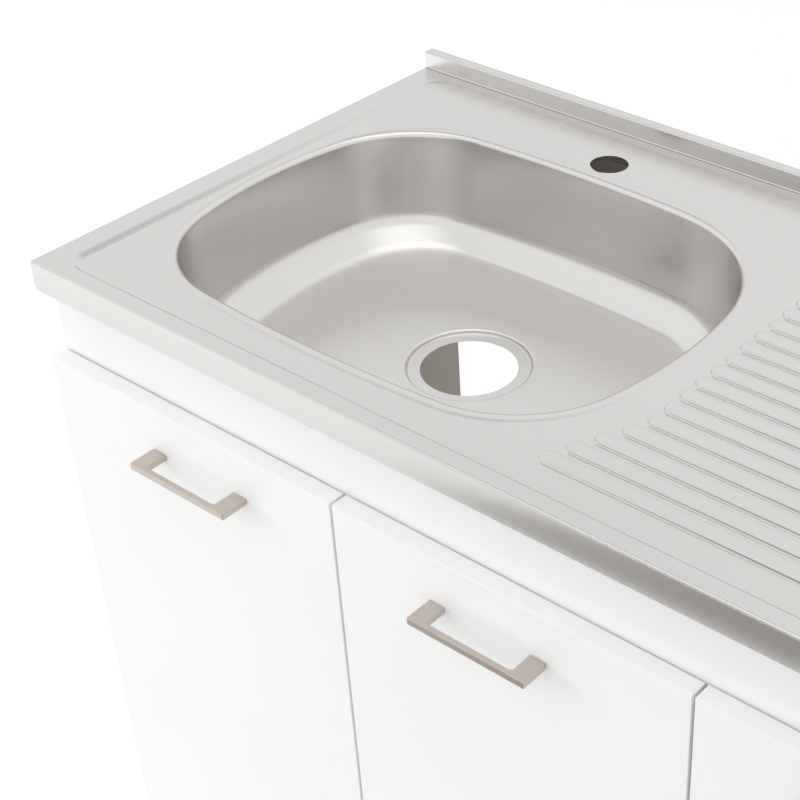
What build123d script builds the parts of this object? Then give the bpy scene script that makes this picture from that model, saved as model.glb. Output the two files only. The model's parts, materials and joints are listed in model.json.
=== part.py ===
from build123d import *
from math import cos, pi, radians, sin, sqrt
import os

# Kitchen sink unit: a pressed stainless steel top with one bowl and a drainer, on a white cabinet with
# three doors. Millimetres. +X to the right, +Y to the back, +Z up. The origin lies on the floor, under the
# centre of the whole unit, handles included.

# ---------------------------------------------------------------- overall sizes
UNIT_WIDTH = 1000.0
UNIT_DEPTH = 500.0
WORKTOP_HEIGHT = 850.0          # floor to the deck of the steel top

# ---------------------------------------------------------------- steel top
SHEET = 0.8
APRON_HEIGHT = 28.0
APRON_RETURN = 15.0             # seat of the turned-in flange on the carcass
BEND_RADIUS = 2.0
UPSTAND_HEIGHT = 16.5
UPSTAND_DEPTH = 11.5
FIELD_DROP = 1.6                # the pressed field lies this far under the border
FIELD_SLOPE = 6.0               # width of the step round the field
FIELD_SIDE_MARGIN = 30.0        # border between the apron and the top of the step
FIELD_FRONT_MARGIN = 15.0
FIELD_BACK_MARGIN = 11.0        # from the upstand
FIELD_CORNER = 22.0

TAP_HOLE_DIAMETER = 35.0
TAP_HOLE_BACK = 67.0            # hole centre to the back of the unit

RIB_PITCH = 20.15
RIB_TOP_WIDTH = 12.0
RIB_FOOT_WIDTH = 14.4
RIB_HEIGHT = 1.6
RIB_COUNT = 20
RIB_FRONT_DISTANCE = 51.4       # front edge of the unit to the middle of the first rib
RIB_BOWL_GAP = 26.5             # rib ends keep this far from the bowl's right-hand end
RIB_RIGHT_MARGIN = 62.0         # rib ends to the right-hand edge
RIB_STRAIGHT_HALF = 114.0       # the line of rib ends is straight this far to each side of its middle
RIB_END_SLANT = 0.46            # and then runs to the left by this share of the distance

# ---------------------------------------------------------------- bowl
BOWL_LEFT = 38.5                # left-hand edge of the unit to the bowl's outline
BOWL_FRONT = 48.5
BOWL_LENGTH = 468.0
BOWL_WIDTH = 357.5
BOWL_LONG_SIDE_RADIUS = 1500.0
BOWL_SHORT_SIDE_RADIUS = 380.0
BOWL_FRONT_LEFT_CORNER = 122.0
BOWL_FRONT_RIGHT_CORNER = 96.0
BOWL_BACK_LEFT_CORNER = 122.0
BOWL_BACK_RIGHT_CORNER = 134.0
RIM_RADIUS = 5.5                # roll from the field down into the bowl
RIM_DEPTH = 7.0
BOWL_DEPTH = 111.5              # field to the rim of the drain recess
WALL_DRAFT = 7.0                # the walls lean in by this much above the floor fillet
FLOOR_FILLET_HEIGHT = 38.0
FLOOR_FILLET_ENDS = 47.0        # reach of the fillet into the floor at the bowl's ends
FLOOR_FILLET_SIDES = 41.0       # and at its front and back
FILLET_STEPS = 5                # flats that make up the floor fillet
FLOOR_FALL = 4.0                # the floor falls to the drain by this much
DRAIN_HOLE_DIAMETER = 86.0
DRAIN_BACK_SHIFT = 4.3          # drain centre behind the middle of the bowl
DRAIN_RECESS_DIAMETER = 113.0
DRAIN_RECESS_DEPTH = 4.0

# ---------------------------------------------------------------- cabinet
BOARD = 16.0                    # coated chipboard
GLIDE_HEIGHT = 4.0
GLIDE_DIAMETER = 14.0
PLINTH_HEIGHT = 100.0
PLINTH_SETBACK = 40.0
FRONT_RAIL_HEIGHT = 100.0
REAR_RAIL_HEIGHT = 80.0
BACK_INSET = 1.0                # carcass back edges to the back of the steel top
SHELF_HEIGHT = 450.0
SHELF_CLEARANCE = 1.0
SHELF_FRONT_SETBACK = 30.0
SHELF_PIN_DIAMETER = 5.0
SHELF_PIN_LENGTH = 8.0          # in the panel, and as much again under the shelf
SHELF_PIN_INSET = 37.0          # pins from the front and back edges of the shelf
SHELF_HOLE_PITCH = 64.0         # spare holes over and under each pin

# ---------------------------------------------------------------- doors
DOOR_THICKNESS = 16.0
DOOR_EDGE_GAP = 1.5             # outer door edges to the sides of the cabinet
DOOR_GAP = 2.8                  # between neighbouring doors
DOOR_TOP_DROP = 94.0            # deck to the top edge of the doors
DOOR_FOOT_GAP = 3.0             # door foot above the underside of the bottom panel
DOOR_BACK_GAP = 1.5             # door back to the carcass front edges, filled by the bumpers
DOOR_EDGE_ROUND = 0.6
BUMPER_DIAMETER = 8.0
BUMPER_INSET = 6.5              # bumper centre from the free edge and from the top or foot of the door
BUMPER_SEAT = 0.2               # bumper to the carcass, door closed

# ---------------------------------------------------------------- handles
HANDLE_CENTRES = 96.0           # distance between the screws
HANDLE_BAR_HEIGHT = 6.5
HANDLE_BAR_THICKNESS = 5.0
HANDLE_LEG_WIDTH = 15.0
HANDLE_PROJECTION = 28.0
HANDLE_DROP = 46.5              # door top to the middle of the handle
HANDLE_OFFSET = 13.0            # from the middle of the door towards its free edge
HANDLE_ROUND = 0.8
HANDLE_INNER_ROUND = 3.0        # between the bar and its legs
HANDLE_SCREW_DIAMETER = 4.0
HANDLE_SCREW_BITE = 9.0         # depth of thread in the handle's leg
HANDLE_SCREW_HEAD = 7.6

# ---------------------------------------------------------------- concealed hinges
HINGE_END_DISTANCE = 95.0       # hinge centre to the door's top or foot
CUP_DIAMETER = 35.0
CUP_DEPTH = 12.0
CUP_WALL = 1.0
CUP_EDGE = 5.0                  # door edge to the rim of the cup
CUP_FLANGE = 1.2
CUP_WING_LENGTH = 56.0
CUP_WING_WIDTH = 14.0
CUP_WING_ROUND = 6.5
CUP_SCREW_SPACING = 45.0
CUP_SCREW_SETBACK = 7.5         # screw line behind the cup's centre
LINK_PIN_EDGE = 12.0            # link pin from the hinge edge of the door
LINK_PIN_DEPTH = 4.0            # and below the door's back face
LINK_PIN_DIAMETER = 3.0
LINK_PIN_LENGTH = 21.4
LINK_BOSS_DIAMETER = 5.2
LINK_DIP_IN = 20.0              # lowest point of the link in the cup, from the hinge edge of the door
LINK_DIP_DEPTH = 9.0            # and below the door's back face
LINK_BEND_DEPTH = 1.5           # end of the straight shank below the door's back face
LINK_THICKNESS = 2.4
LINK_WIDTH = 13.0
LINK_REACH = 29.0               # straight shank of the link, from the hinge edge of the door
LINK_TAIL = 34.0                # end of the shank behind the door's back face
ARM_WALL = 1.2
ARM_TOP = 36.0                  # outside of the arm's web, from the hinge edge of the door
ARM_FLANK = 15.0                # depth of the arm's side walls
ARM_CHANNEL = 16.0              # between the arm's side walls
ARM_LENGTH = 60.0
ARM_FRONT = 3.0                 # front of the arm behind the door's back face
PLATE_SETBACK = 37.0            # line of the plate screws behind the carcass front edge
PLATE_SCREW_SPACING = 32.0
PLATE_THICKNESS = 2.0
PLATE_LENGTH = 22.0
PLATE_WIDTH = 46.0
BLOCK_LENGTH = 36.0
BLOCK_TOP = 22.0                # block's crest, from the hinge edge of the door
ARM_SCREW_DIAMETER = 5.0
ARM_SCREW_BACK = 13.0           # clamping screw behind the plate screws
ARM_SCREW_BITE = 5.5
ARM_SCREW_HEAD = 8.0

# ---------------------------------------------------------------- small fittings and fits
FIT = 0.15                      # clearance of fasteners in their holes
SEAT = 0.3                      # clearance of loose seats
SCREW_DIAMETER = 3.5
SCREW_HEAD_DIAMETER = 7.0
SCREW_HEAD_HEIGHT = 2.2
SCREW_LENGTH = 13.0
PANEL_SCREW_DIAMETER = 5.0      # long screws that hold the partition
PANEL_SCREW_LENGTH = 45.0
PANEL_SCREW_END_DISTANCE = 90.0
CAM_DIAMETER = 15.0
CAM_DEPTH = 12.5
CAM_SETBACK = 24.0              # cam centre to the end of its board
CAM_SLOT_LENGTH = 9.0
CAM_SLOT_WIDTH = 1.6
CAM_SLOT_DEPTH = 1.5
CAM_BOLT_DIAMETER = 6.0
CAM_BOLT_NECK = 4.0
CAM_BOLT_BITE = 10.0            # thread in the side panel
DOWEL_DIAMETER = 8.0
DOWEL_LENGTH = 30.0
DOWEL_BITE = 10.0
CAM_FRONT_DISTANCE = 60.0       # cams from the front and back edges of the bottom panel
DOWEL_STEP = 32.0               # dowel beside each cam
RAIL_CAM_DISTANCE = 24.0        # cam from the lower edge of a rail
PLINTH_CAM_DISTANCE = 48.0
GLIDE_INSET = 35.0              # glides from the front and back edges of the side panels
CLIP_WIDTH = 24.0
CLIP_THICKNESS = 1.2
CLIP_LEG = 27.0
CLIP_GRIP = 9.0                 # overlap on the return flange
CLIP_END_DISTANCE = 90.0

# ---------------------------------------------------------------- derived places
LEFT = -UNIT_WIDTH / 2
RIGHT = UNIT_WIDTH / 2
FRONT = -(UNIT_DEPTH - HANDLE_PROJECTION) / 2      # apron and door faces
BACK = FRONT + UNIT_DEPTH
DECK = WORKTOP_HEIGHT
FIELD = DECK - FIELD_DROP
CARCASS_TOP = DECK - APRON_HEIGHT
DOOR_BACK = FRONT + DOOR_THICKNESS
CARCASS_FRONT = DOOR_BACK + DOOR_BACK_GAP
CARCASS_BACK = BACK - BACK_INSET
INNER_LEFT = LEFT + BOARD
INNER_RIGHT = RIGHT - BOARD
FLOOR_PANEL_BOTTOM = PLINTH_HEIGHT
FLOOR_PANEL_TOP = PLINTH_HEIGHT + BOARD
DOOR_TOP = DECK - DOOR_TOP_DROP
DOOR_FOOT = FLOOR_PANEL_BOTTOM + DOOR_FOOT_GAP
DOOR_HEIGHT = DOOR_TOP - DOOR_FOOT
DOOR_WIDTH = (UNIT_WIDTH - 2 * DOOR_EDGE_GAP - 2 * DOOR_GAP) / 3
UPSTAND_FRONT = BACK - UPSTAND_DEPTH
BOWL_X = LEFT + BOWL_LEFT + BOWL_LENGTH / 2
BOWL_Y = FRONT + BOWL_FRONT + BOWL_WIDTH / 2
TAP_X = BOWL_X
TAP_Y = BACK - TAP_HOLE_BACK
DRAIN_Y = BOWL_Y + DRAIN_BACK_SHIFT
PARTITION_X = RIGHT - DOOR_EDGE_GAP - DOOR_WIDTH - DOOR_GAP / 2
PARTITION_LEFT = PARTITION_X - BOARD / 2
PARTITION_RIGHT = PARTITION_X + BOARD / 2
PARTITION_BACK = CARCASS_BACK - BOARD
PLINTH_FRONT = CARCASS_FRONT + PLINTH_SETBACK
RAIL_FOOT = CARCASS_TOP - FRONT_RAIL_HEIGHT
HANDLE_HEIGHT = DOOR_TOP - HANDLE_DROP
HINGE_HEIGHTS = (DOOR_FOOT + HINGE_END_DISTANCE, DOOR_TOP - HINGE_END_DISTANCE)
CUP_IN = CUP_EDGE + CUP_DIAMETER / 2


def block(x0, x1, y0, y1, z0, z1):
    """A board or block between two corners."""
    return Pos((x0 + x1) / 2, (y0 + y1) / 2, (z0 + z1) / 2) * Box(x1 - x0, y1 - y0, z1 - z0)


def rod(start, direction, diameter, length):
    """A round bar from a point along a direction."""
    plane = Plane(origin=start, z_dir=direction)
    return extrude(plane * Circle(diameter / 2), amount=length)


def peg(start, direction, diameter, length):
    """A small bar or bore of a fitting, with few flat sides, because there are many of them."""
    plane = Plane(origin=start, z_dir=direction)
    sides = 8 if diameter < 10 else 12 if diameter < 20 else 24
    return extrude(plane * RegularPolygon(diameter / 2, sides), amount=length)


def rounded_rectangle(x0, x1, y0, y1, radius, z):
    """A flat face with round corners at height z."""
    return Pos((x0 + x1) / 2, (y0 + y1) / 2, z) * RectangleRounded(x1 - x0, y1 - y0, radius)


# ================================================================ bowl outline
def corner_centre(radius):
    """Centre of a corner arc that is tangent to the long side's arc and the short side's arc."""
    long_centre = Vector(0, BOWL_WIDTH / 2 - BOWL_LONG_SIDE_RADIUS)
    short_centre = Vector(BOWL_LENGTH / 2 - BOWL_SHORT_SIDE_RADIUS, 0)
    from_long = BOWL_LONG_SIDE_RADIUS - radius
    from_short = BOWL_SHORT_SIDE_RADIUS - radius
    line = short_centre - long_centre
    span = line.length
    along = (from_long ** 2 - from_short ** 2 + span ** 2) / (2 * span)
    aside = sqrt(from_long ** 2 - along ** 2)
    unit = line / span
    centre = long_centre + unit * along + Vector(unit.Y, -unit.X) * aside
    on_long = centre + (centre - long_centre).normalized() * radius
    on_short = centre + (centre - short_centre).normalized() * radius
    between = centre + ((on_long + on_short) / 2 - centre).normalized() * radius
    return on_short, between, on_long


def outline_ring(inset_ends, inset_sides):
    """Sixteen points round the bowl: a corner's start, middle and end, then the middle of a side."""
    half_length = BOWL_LENGTH / 2
    half_width = BOWL_WIDTH / 2
    shrink_x = (half_length - inset_ends) / half_length
    shrink_y = (half_width - inset_sides) / half_width
    corners = (
        (1, 1, BOWL_BACK_RIGHT_CORNER),
        (-1, 1, BOWL_BACK_LEFT_CORNER),
        (-1, -1, BOWL_FRONT_LEFT_CORNER),
        (1, -1, BOWL_FRONT_RIGHT_CORNER),
    )
    sides = ((0, half_width), (-half_length, 0), (0, -half_width), (half_length, 0))
    ring = []
    for (turn_x, turn_y, radius), side in zip(corners, sides):
        arc = [(p.X * turn_x, p.Y * turn_y) for p in corner_centre(radius)]
        if turn_x * turn_y < 0:
            arc.reverse()
        ring += arc + [side]
    return [(x * shrink_x, y * shrink_y) for x, y in ring]


def circle_ring(radius):
    """Points on the drain's circle that pair with those of the outline, for a loft between them."""
    ring = []
    for x, y in outline_ring(0, 0):
        reach = sqrt(x * x + y * y)
        ring.append((x / reach * radius, DRAIN_BACK_SHIFT + y / reach * radius))
    return ring


def ring_face(ring, z):
    """A face bounded by eight arcs through the ring's points, at height z."""
    points = [(BOWL_X + x, BOWL_Y + y, z) for x, y in ring]
    points.append(points[0])
    return make_face([ThreePointArc(*points[k:k + 3]) for k in range(0, len(points) - 1, 2)])


def bowl_face(inset, z):
    return ring_face(outline_ring(inset, inset), z)


# ================================================================ steel top
def rib_lines():
    """Start, end and Y of each drainer rib. The outer ribs reach further to the left, round the bowl."""
    first = FRONT + RIB_FRONT_DISTANCE
    middle = first + RIB_PITCH * (RIB_COUNT - 1) / 2
    straight_start = LEFT + BOWL_LEFT + BOWL_LENGTH + RIB_BOWL_GAP
    lines = []
    for k in range(RIB_COUNT):
        y = first + k * RIB_PITCH
        outward = max(0.0, abs(y - middle) - RIB_STRAIGHT_HALF)
        lines.append((straight_start - outward * RIB_END_SLANT, RIGHT - RIB_RIGHT_MARGIN, y))
    return lines


def drainer_rib(start, end, y, z):
    """A flat-topped rib with sloping flanks and round ends, standing on the field at height z."""
    step = (RIB_FOOT_WIDTH - RIB_TOP_WIDTH) / 2
    middle = (start + end) / 2
    length = end - start
    foot = Pos(middle, y, z) * SlotOverall(length, RIB_FOOT_WIDTH)
    crest = Pos(middle, y, z + RIB_HEIGHT) * SlotOverall(length - 2 * step, RIB_TOP_WIDTH)
    return loft([foot, crest], ruled=True)


def long_bends(form, levels):
    """Edges to be rounded: the long edges that lie at one of the levels, apart from the upstand's foot."""
    bends = []
    for edge in form.edges():
        centre = edge.center()
        at_level = min(abs(centre.Z - level) for level in levels) < 0.01
        at_foot_of_upstand = centre.Y > UPSTAND_FRONT - 1 and abs(centre.Z - min(levels)) < 0.01
        if at_level and not at_foot_of_upstand and edge.length > UPSTAND_DEPTH:
            bends.append(edge)
    return bends


def pressed_form(drop):
    """Everything under the steel top's upper face, or under its lower face when drop is the sheet."""
    top = DECK - drop
    crest = top + UPSTAND_HEIGHT
    form = block(LEFT + drop, RIGHT - drop, FRONT + drop, BACK - drop, CARCASS_TOP, top)
    form += block(LEFT + drop, RIGHT - drop, UPSTAND_FRONT + drop, BACK - drop, top - BEND_RADIUS, crest)
    form = fillet(long_bends(form, (top, crest)), BEND_RADIUS - drop)
    step_top = rounded_rectangle(
        LEFT + FIELD_SIDE_MARGIN, RIGHT - FIELD_SIDE_MARGIN,
        FRONT + FIELD_FRONT_MARGIN, UPSTAND_FRONT - FIELD_BACK_MARGIN, FIELD_CORNER, top)
    step_foot = rounded_rectangle(
        LEFT + FIELD_SIDE_MARGIN + FIELD_SLOPE, RIGHT - FIELD_SIDE_MARGIN - FIELD_SLOPE,
        FRONT + FIELD_FRONT_MARGIN + FIELD_SLOPE, UPSTAND_FRONT - FIELD_BACK_MARGIN - FIELD_SLOPE,
        FIELD_CORNER - FIELD_SLOPE, top - FIELD_DROP)
    form -= loft([step_foot, step_top], ruled=True)
    for start, end, y in rib_lines():
        form += drainer_rib(start, end, y, top - FIELD_DROP)
    return form


def rim_space(drop):
    """The open space inside the rolled rim, or the space inside its outer skin for drop = sheet."""
    radius = RIM_RADIUS - drop
    sections = [bowl_face(radius, FIELD - RIM_DEPTH), bowl_face(radius, FIELD - RIM_RADIUS)]
    for turn in (30, 60, 90):
        inset = radius * cos(radians(turn))
        sections.append(bowl_face(inset, FIELD - RIM_RADIUS + radius * sin(radians(turn))))
    if drop > 0:
        sections.append(bowl_face(0, FIELD))
    return loft(sections, ruled=True)


def sink_top():
    """Deck, stepped field, ribs, aprons with their return flange, upstand and the bowl's rolled rim."""
    top = pressed_form(0.0) - pressed_form(SHEET)
    flange = block(LEFT, RIGHT, FRONT, BACK, CARCASS_TOP, CARCASS_TOP + SHEET)
    flange -= block(
        LEFT + APRON_RETURN, RIGHT - APRON_RETURN, CARCASS_FRONT + APRON_RETURN, CARCASS_BACK - APRON_RETURN,
        CARCASS_TOP, CARCASS_TOP + SHEET)
    top += flange
    top -= extrude(bowl_face(0, FIELD - RIM_DEPTH), amount=RIM_DEPTH + FIELD_DROP)
    top += rim_space(SHEET) - rim_space(0)
    top -= rod((TAP_X, TAP_Y, DECK), (0, 0, -1), TAP_HOLE_DIAMETER, APRON_HEIGHT / 2)
    return top


# ================================================================ bowl
def bowl_space(drop):
    """The space inside the bowl, or the space inside its outer skin when drop is the sheet."""
    perimeter = FIELD - BOWL_DEPTH + FLOOR_FALL - drop
    wall_foot = perimeter + FLOOR_FILLET_HEIGHT
    wall_inset = RIM_RADIUS + WALL_DRAFT - drop
    sections = [bowl_face(RIM_RADIUS - drop, FIELD - RIM_DEPTH)]
    sections.append(bowl_face(wall_inset, wall_foot))
    wall = loft(sections, ruled=True)
    turns = [k * 90 / FILLET_STEPS for k in range(FILLET_STEPS + 1)]
    rounds = []
    for turn in turns:
        inward = 1 - cos(radians(turn))
        downward = FLOOR_FILLET_HEIGHT * sin(radians(turn))
        at_ends = wall_inset + FLOOR_FILLET_ENDS * inward
        at_sides = wall_inset + FLOOR_FILLET_SIDES * inward
        rounds.append(ring_face(outline_ring(at_ends, at_sides), wall_foot - downward))
    fillet_space = loft(rounds, ruled=True)
    drain_rim = FIELD - BOWL_DEPTH - drop
    drain_radius = DRAIN_RECESS_DIAMETER / 2 + drop
    floor_ring = outline_ring(wall_inset + FLOOR_FILLET_ENDS, wall_inset + FLOOR_FILLET_SIDES)
    drain_ring = circle_ring(drain_radius)
    floor = loft([ring_face(drain_ring, drain_rim), ring_face(floor_ring, perimeter)], ruled=True)
    recess = rod((BOWL_X, DRAIN_Y, drain_rim), (0, 0, -1), 2 * drain_radius, DRAIN_RECESS_DEPTH)
    return wall + fillet_space + floor + recess


def sink_bowl():
    """Pressed bowl: leaning walls, large floor fillet, floor falling to the stepped drain seat."""
    bowl = bowl_space(SHEET) - bowl_space(0)
    through = BOWL_DEPTH + DRAIN_RECESS_DEPTH + 2 * SHEET
    bowl -= rod((BOWL_X, DRAIN_Y, FIELD), (0, 0, -1), DRAIN_HOLE_DIAMETER, through)
    return bowl


# ================================================================ joints between the boards
def cam_joints():
    """Board, Y and Z of each cam joint at the side panels, and the side that the cam is bored from."""
    floor_middle = FLOOR_PANEL_BOTTOM + BOARD / 2
    rear_middle = CARCASS_BACK - BOARD / 2
    rear_rail_foot = CARCASS_TOP - REAR_RAIL_HEIGHT
    return [
        ("bottom_panel", CARCASS_FRONT + CAM_FRONT_DISTANCE, floor_middle, (0, 0, -1)),
        ("bottom_panel", CARCASS_BACK - CAM_FRONT_DISTANCE, floor_middle, (0, 0, -1)),
        ("front_rail", CARCASS_FRONT + BOARD / 2, RAIL_FOOT + RAIL_CAM_DISTANCE, (0, 1, 0)),
        ("rear_rail_top", rear_middle, rear_rail_foot + RAIL_CAM_DISTANCE, (0, -1, 0)),
        ("rear_rail_bottom", rear_middle, FLOOR_PANEL_TOP + RAIL_CAM_DISTANCE, (0, -1, 0)),
        ("plinth_board", PLINTH_FRONT + BOARD / 2, PLINTH_CAM_DISTANCE, (0, 1, 0)),
    ]


def dowel_joints():
    """Board, Y and Z of each dowel, one step from its cam. The plinth board has none."""
    joints = []
    for board, y, z, side in cam_joints():
        if board == "bottom_panel":
            step = DOWEL_STEP if y < 0 else -DOWEL_STEP
            joints.append((board, y + step, z))
        elif board != "plinth_board":
            joints.append((board, y, z + DOWEL_STEP))
    return joints


def cam_bolts():
    """Bolts screwed into the side panels, with a neck that the cams draw in."""
    bolts = []
    neck_start = CAM_SETBACK - CAM_DIAMETER / 2
    for end in (-1, 1):
        face = end * INNER_RIGHT
        for board, y, z, side in cam_joints():
            inward = (-end, 0, 0)
            thread_end = (face + end * CAM_BOLT_BITE, y, z)
            bolt = peg(thread_end, inward, CAM_BOLT_DIAMETER, CAM_BOLT_BITE + neck_start)
            bolt += peg((face - end * neck_start, y, z), inward, CAM_BOLT_NECK, CAM_DIAMETER / 2)
            bolts.append(bolt)
    return bolts


def cam_locks():
    """Cam discs with a bore for the bolt and a slot for the screwdriver."""
    cams = []
    for end in (-1, 1):
        centre = end * (INNER_RIGHT - CAM_SETBACK)
        for board, y, z, side in cam_joints():
            face = Vector(centre, y, z) + Vector(side) * (BOARD / 2 - FIT)
            inward = Vector(side) * -1
            cam = peg(face, inward, CAM_DIAMETER - 2 * FIT, CAM_DEPTH - 2 * FIT)
            bore_start = (centre + end * CAM_DIAMETER, y, z)
            bore_length = CAM_DIAMETER + CAM_BOLT_DIAMETER / 2
            cam -= peg(bore_start, (-end, 0, 0), CAM_BOLT_DIAMETER + 2 * FIT, bore_length)
            face_plane = Plane(face, x_dir=(1, 0, 0), z_dir=inward)
            cam -= extrude(face_plane * Rectangle(CAM_SLOT_LENGTH, CAM_SLOT_WIDTH), amount=CAM_SLOT_DEPTH)
            cams.append(cam)
    return cams


def dowels():
    pins = []
    for end in (-1, 1):
        for board, y, z in dowel_joints():
            start = (end * (INNER_RIGHT + DOWEL_BITE), y, z)
            pins.append(peg(start, (-end, 0, 0), DOWEL_DIAMETER, DOWEL_LENGTH))
    return pins


def joint_space(board_name, end):
    """Bores for cams, bolts and dowels at one end. A side panel, named panel, gets those of all boards."""
    bores = []
    face = end * INNER_RIGHT
    for board, y, z, side in cam_joints():
        if board == board_name:
            mouth = Vector(face - end * CAM_SETBACK, y, z) + Vector(side) * (BOARD / 2)
            bores.append(peg(mouth, Vector(side) * -1, CAM_DIAMETER, CAM_DEPTH))
            bores.append(peg((face, y, z), (-end, 0, 0), CAM_BOLT_DIAMETER + 2 * FIT, CAM_SETBACK))
        elif board_name == "panel":
            bores.append(peg((face, y, z), (end, 0, 0), CAM_BOLT_DIAMETER + 2 * FIT, CAM_BOLT_BITE + FIT))
    for board, y, z in dowel_joints():
        if board == board_name:
            depth = DOWEL_LENGTH - DOWEL_BITE + SEAT
            bores.append(peg((face, y, z), (-end, 0, 0), DOWEL_DIAMETER + 2 * FIT, depth))
        elif board_name == "panel":
            bores.append(peg((face, y, z), (end, 0, 0), DOWEL_DIAMETER + 2 * FIT, DOWEL_BITE + SEAT))
    return bores


def partition_screw_places():
    """Start and way of the partition's long screws, from under the floor and through the rear rails."""
    places = []
    for y in (CARCASS_FRONT + PANEL_SCREW_END_DISTANCE, PARTITION_BACK - PANEL_SCREW_END_DISTANCE):
        places.append(((PARTITION_X, y, FLOOR_PANEL_BOTTOM), (0, 0, 1)))
    for z in (FLOOR_PANEL_TOP + REAR_RAIL_HEIGHT / 2, CARCASS_TOP - REAR_RAIL_HEIGHT / 2):
        places.append(((PARTITION_X, CARCASS_BACK, z), (0, -1, 0)))
    return places


def partition_screws():
    screws = []
    for start, way in partition_screw_places():
        screw = peg(start, way, PANEL_SCREW_DIAMETER, PANEL_SCREW_LENGTH)
        screw += peg(start, way, SCREW_HEAD_DIAMETER, SCREW_HEAD_HEIGHT)
        screws.append(screw)
    return screws


def partition_screw_space():
    bores = []
    for start, way in partition_screw_places():
        bores.append(peg(start, way, PANEL_SCREW_DIAMETER + 2 * FIT, PANEL_SCREW_LENGTH + FIT))
        bores.append(peg(start, way, SCREW_HEAD_DIAMETER + 2 * FIT, SCREW_HEAD_HEIGHT + FIT))
    return bores


# ================================================================ clips of the steel top
def clip_places():
    """Point on a board's inner face at the carcass top, and the turn from +X to the outside."""
    places = []
    for y in (CARCASS_FRONT + CLIP_END_DISTANCE, CARCASS_BACK - CLIP_END_DISTANCE):
        places.append((INNER_LEFT, y, 180))
        places.append((INNER_RIGHT, y, 0))
    for x in (INNER_LEFT + CLIP_END_DISTANCE, INNER_RIGHT - CLIP_END_DISTANCE):
        places.append((x, CARCASS_FRONT + BOARD, -90))
        places.append((x, CARCASS_BACK - BOARD, 90))
    return places


def on_clip_places(form):
    return [Pos(x, y, CARCASS_TOP) * Rot(0, 0, turn) * form for x, y, turn in clip_places()]


def clip_screw_hole(diameter, depth):
    """A bore from the clip's outer face into the board."""
    return peg((-CLIP_THICKNESS, 0, -CLIP_LEG / 2), (1, 0, 0), diameter, depth)


def sink_clips():
    """Steel angles: a leg on the board, and a tab that holds the top's return flange down."""
    tab_foot = SHEET + FIT
    half = CLIP_WIDTH / 2
    clip = block(-CLIP_THICKNESS, 0, -half, half, -CLIP_LEG, tab_foot + CLIP_THICKNESS)
    clip += block(-CLIP_THICKNESS, CLIP_GRIP, -half, half, tab_foot, tab_foot + CLIP_THICKNESS)
    clip -= clip_screw_hole(SCREW_DIAMETER + 2 * FIT, CLIP_THICKNESS)
    return on_clip_places(clip)


def clip_screws():
    screw = clip_screw_hole(SCREW_DIAMETER, SCREW_LENGTH)
    screw += peg((-CLIP_THICKNESS, 0, -CLIP_LEG / 2), (-1, 0, 0), SCREW_HEAD_DIAMETER, SCREW_HEAD_HEIGHT)
    return on_clip_places(screw)


# ================================================================ boards
def cut(form, spaces):
    for space in spaces:
        form -= space
    return form


def shelf_pin_places():
    """Face, Y and the way into the board of the pins in the right-hand compartment."""
    shelf_front = CARCASS_FRONT + SHELF_FRONT_SETBACK
    places = []
    for y in (shelf_front + SHELF_PIN_INSET, PARTITION_BACK - SHELF_PIN_INSET):
        places.append((PARTITION_RIGHT, y, -1))
        places.append((INNER_RIGHT, y, 1))
    return places


def shelf_pin_holes(way_in):
    """The pins' holes and their spare ones in the partition or in the right-hand side panel."""
    height = SHELF_HEIGHT - SEAT / 2 - SHELF_PIN_DIAMETER / 2
    holes = []
    for x, y, way in shelf_pin_places():
        if way == way_in:
            for step in (-SHELF_HOLE_PITCH, 0, SHELF_HOLE_PITCH):
                start = (x, y, height + step)
                holes.append(peg(start, (way, 0, 0), SHELF_PIN_DIAMETER + 2 * FIT, SHELF_PIN_LENGTH + SEAT))
    return holes


def side_panel(end):
    """A side panel: end is -1 for the left and 1 for the right."""
    outer = end * RIGHT
    inner = end * INNER_RIGHT
    left, right = sorted((inner, outer))
    panel = block(left, right, CARCASS_FRONT, CARCASS_BACK, GLIDE_HEIGHT, CARCASS_TOP)
    spaces = joint_space("panel", end) + plate_screw_spaces(1 if end < 0 else 3)
    spaces += on_clip_places(clip_screw_hole(SCREW_DIAMETER + 2 * FIT, SCREW_LENGTH + FIT))
    if end > 0:
        spaces += shelf_pin_holes(1)
    return cut(panel, spaces)


def bottom_panel():
    """Floor of the cabinet."""
    board = block(INNER_LEFT, INNER_RIGHT, CARCASS_FRONT, CARCASS_BACK, FLOOR_PANEL_BOTTOM, FLOOR_PANEL_TOP)
    board = cut(board, joint_space("bottom_panel", -1) + joint_space("bottom_panel", 1))
    return cut(board, partition_screw_space())


def front_rail():
    """Board behind the apron, on edge between the side panels."""
    board = block(INNER_LEFT, INNER_RIGHT, CARCASS_FRONT, CARCASS_FRONT + BOARD, RAIL_FOOT, CARCASS_TOP)
    spaces = joint_space("front_rail", -1) + joint_space("front_rail", 1)
    return cut(board, spaces + on_clip_places(clip_screw_hole(SCREW_DIAMETER + 2 * FIT, SCREW_LENGTH + FIT)))


def rear_rail(name, foot):
    board = block(INNER_LEFT, INNER_RIGHT, CARCASS_BACK - BOARD, CARCASS_BACK, foot, foot + REAR_RAIL_HEIGHT)
    spaces = joint_space(name, -1) + joint_space(name, 1) + partition_screw_space()
    return cut(board, spaces + on_clip_places(clip_screw_hole(SCREW_DIAMETER + 2 * FIT, SCREW_LENGTH + FIT)))


def plinth_board():
    """Board under the cabinet floor, set back behind the toe space."""
    back = PLINTH_FRONT + BOARD
    board = block(INNER_LEFT, INNER_RIGHT, PLINTH_FRONT, back, GLIDE_HEIGHT, FLOOR_PANEL_BOTTOM)
    return cut(board, joint_space("plinth_board", -1) + joint_space("plinth_board", 1))


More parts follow.
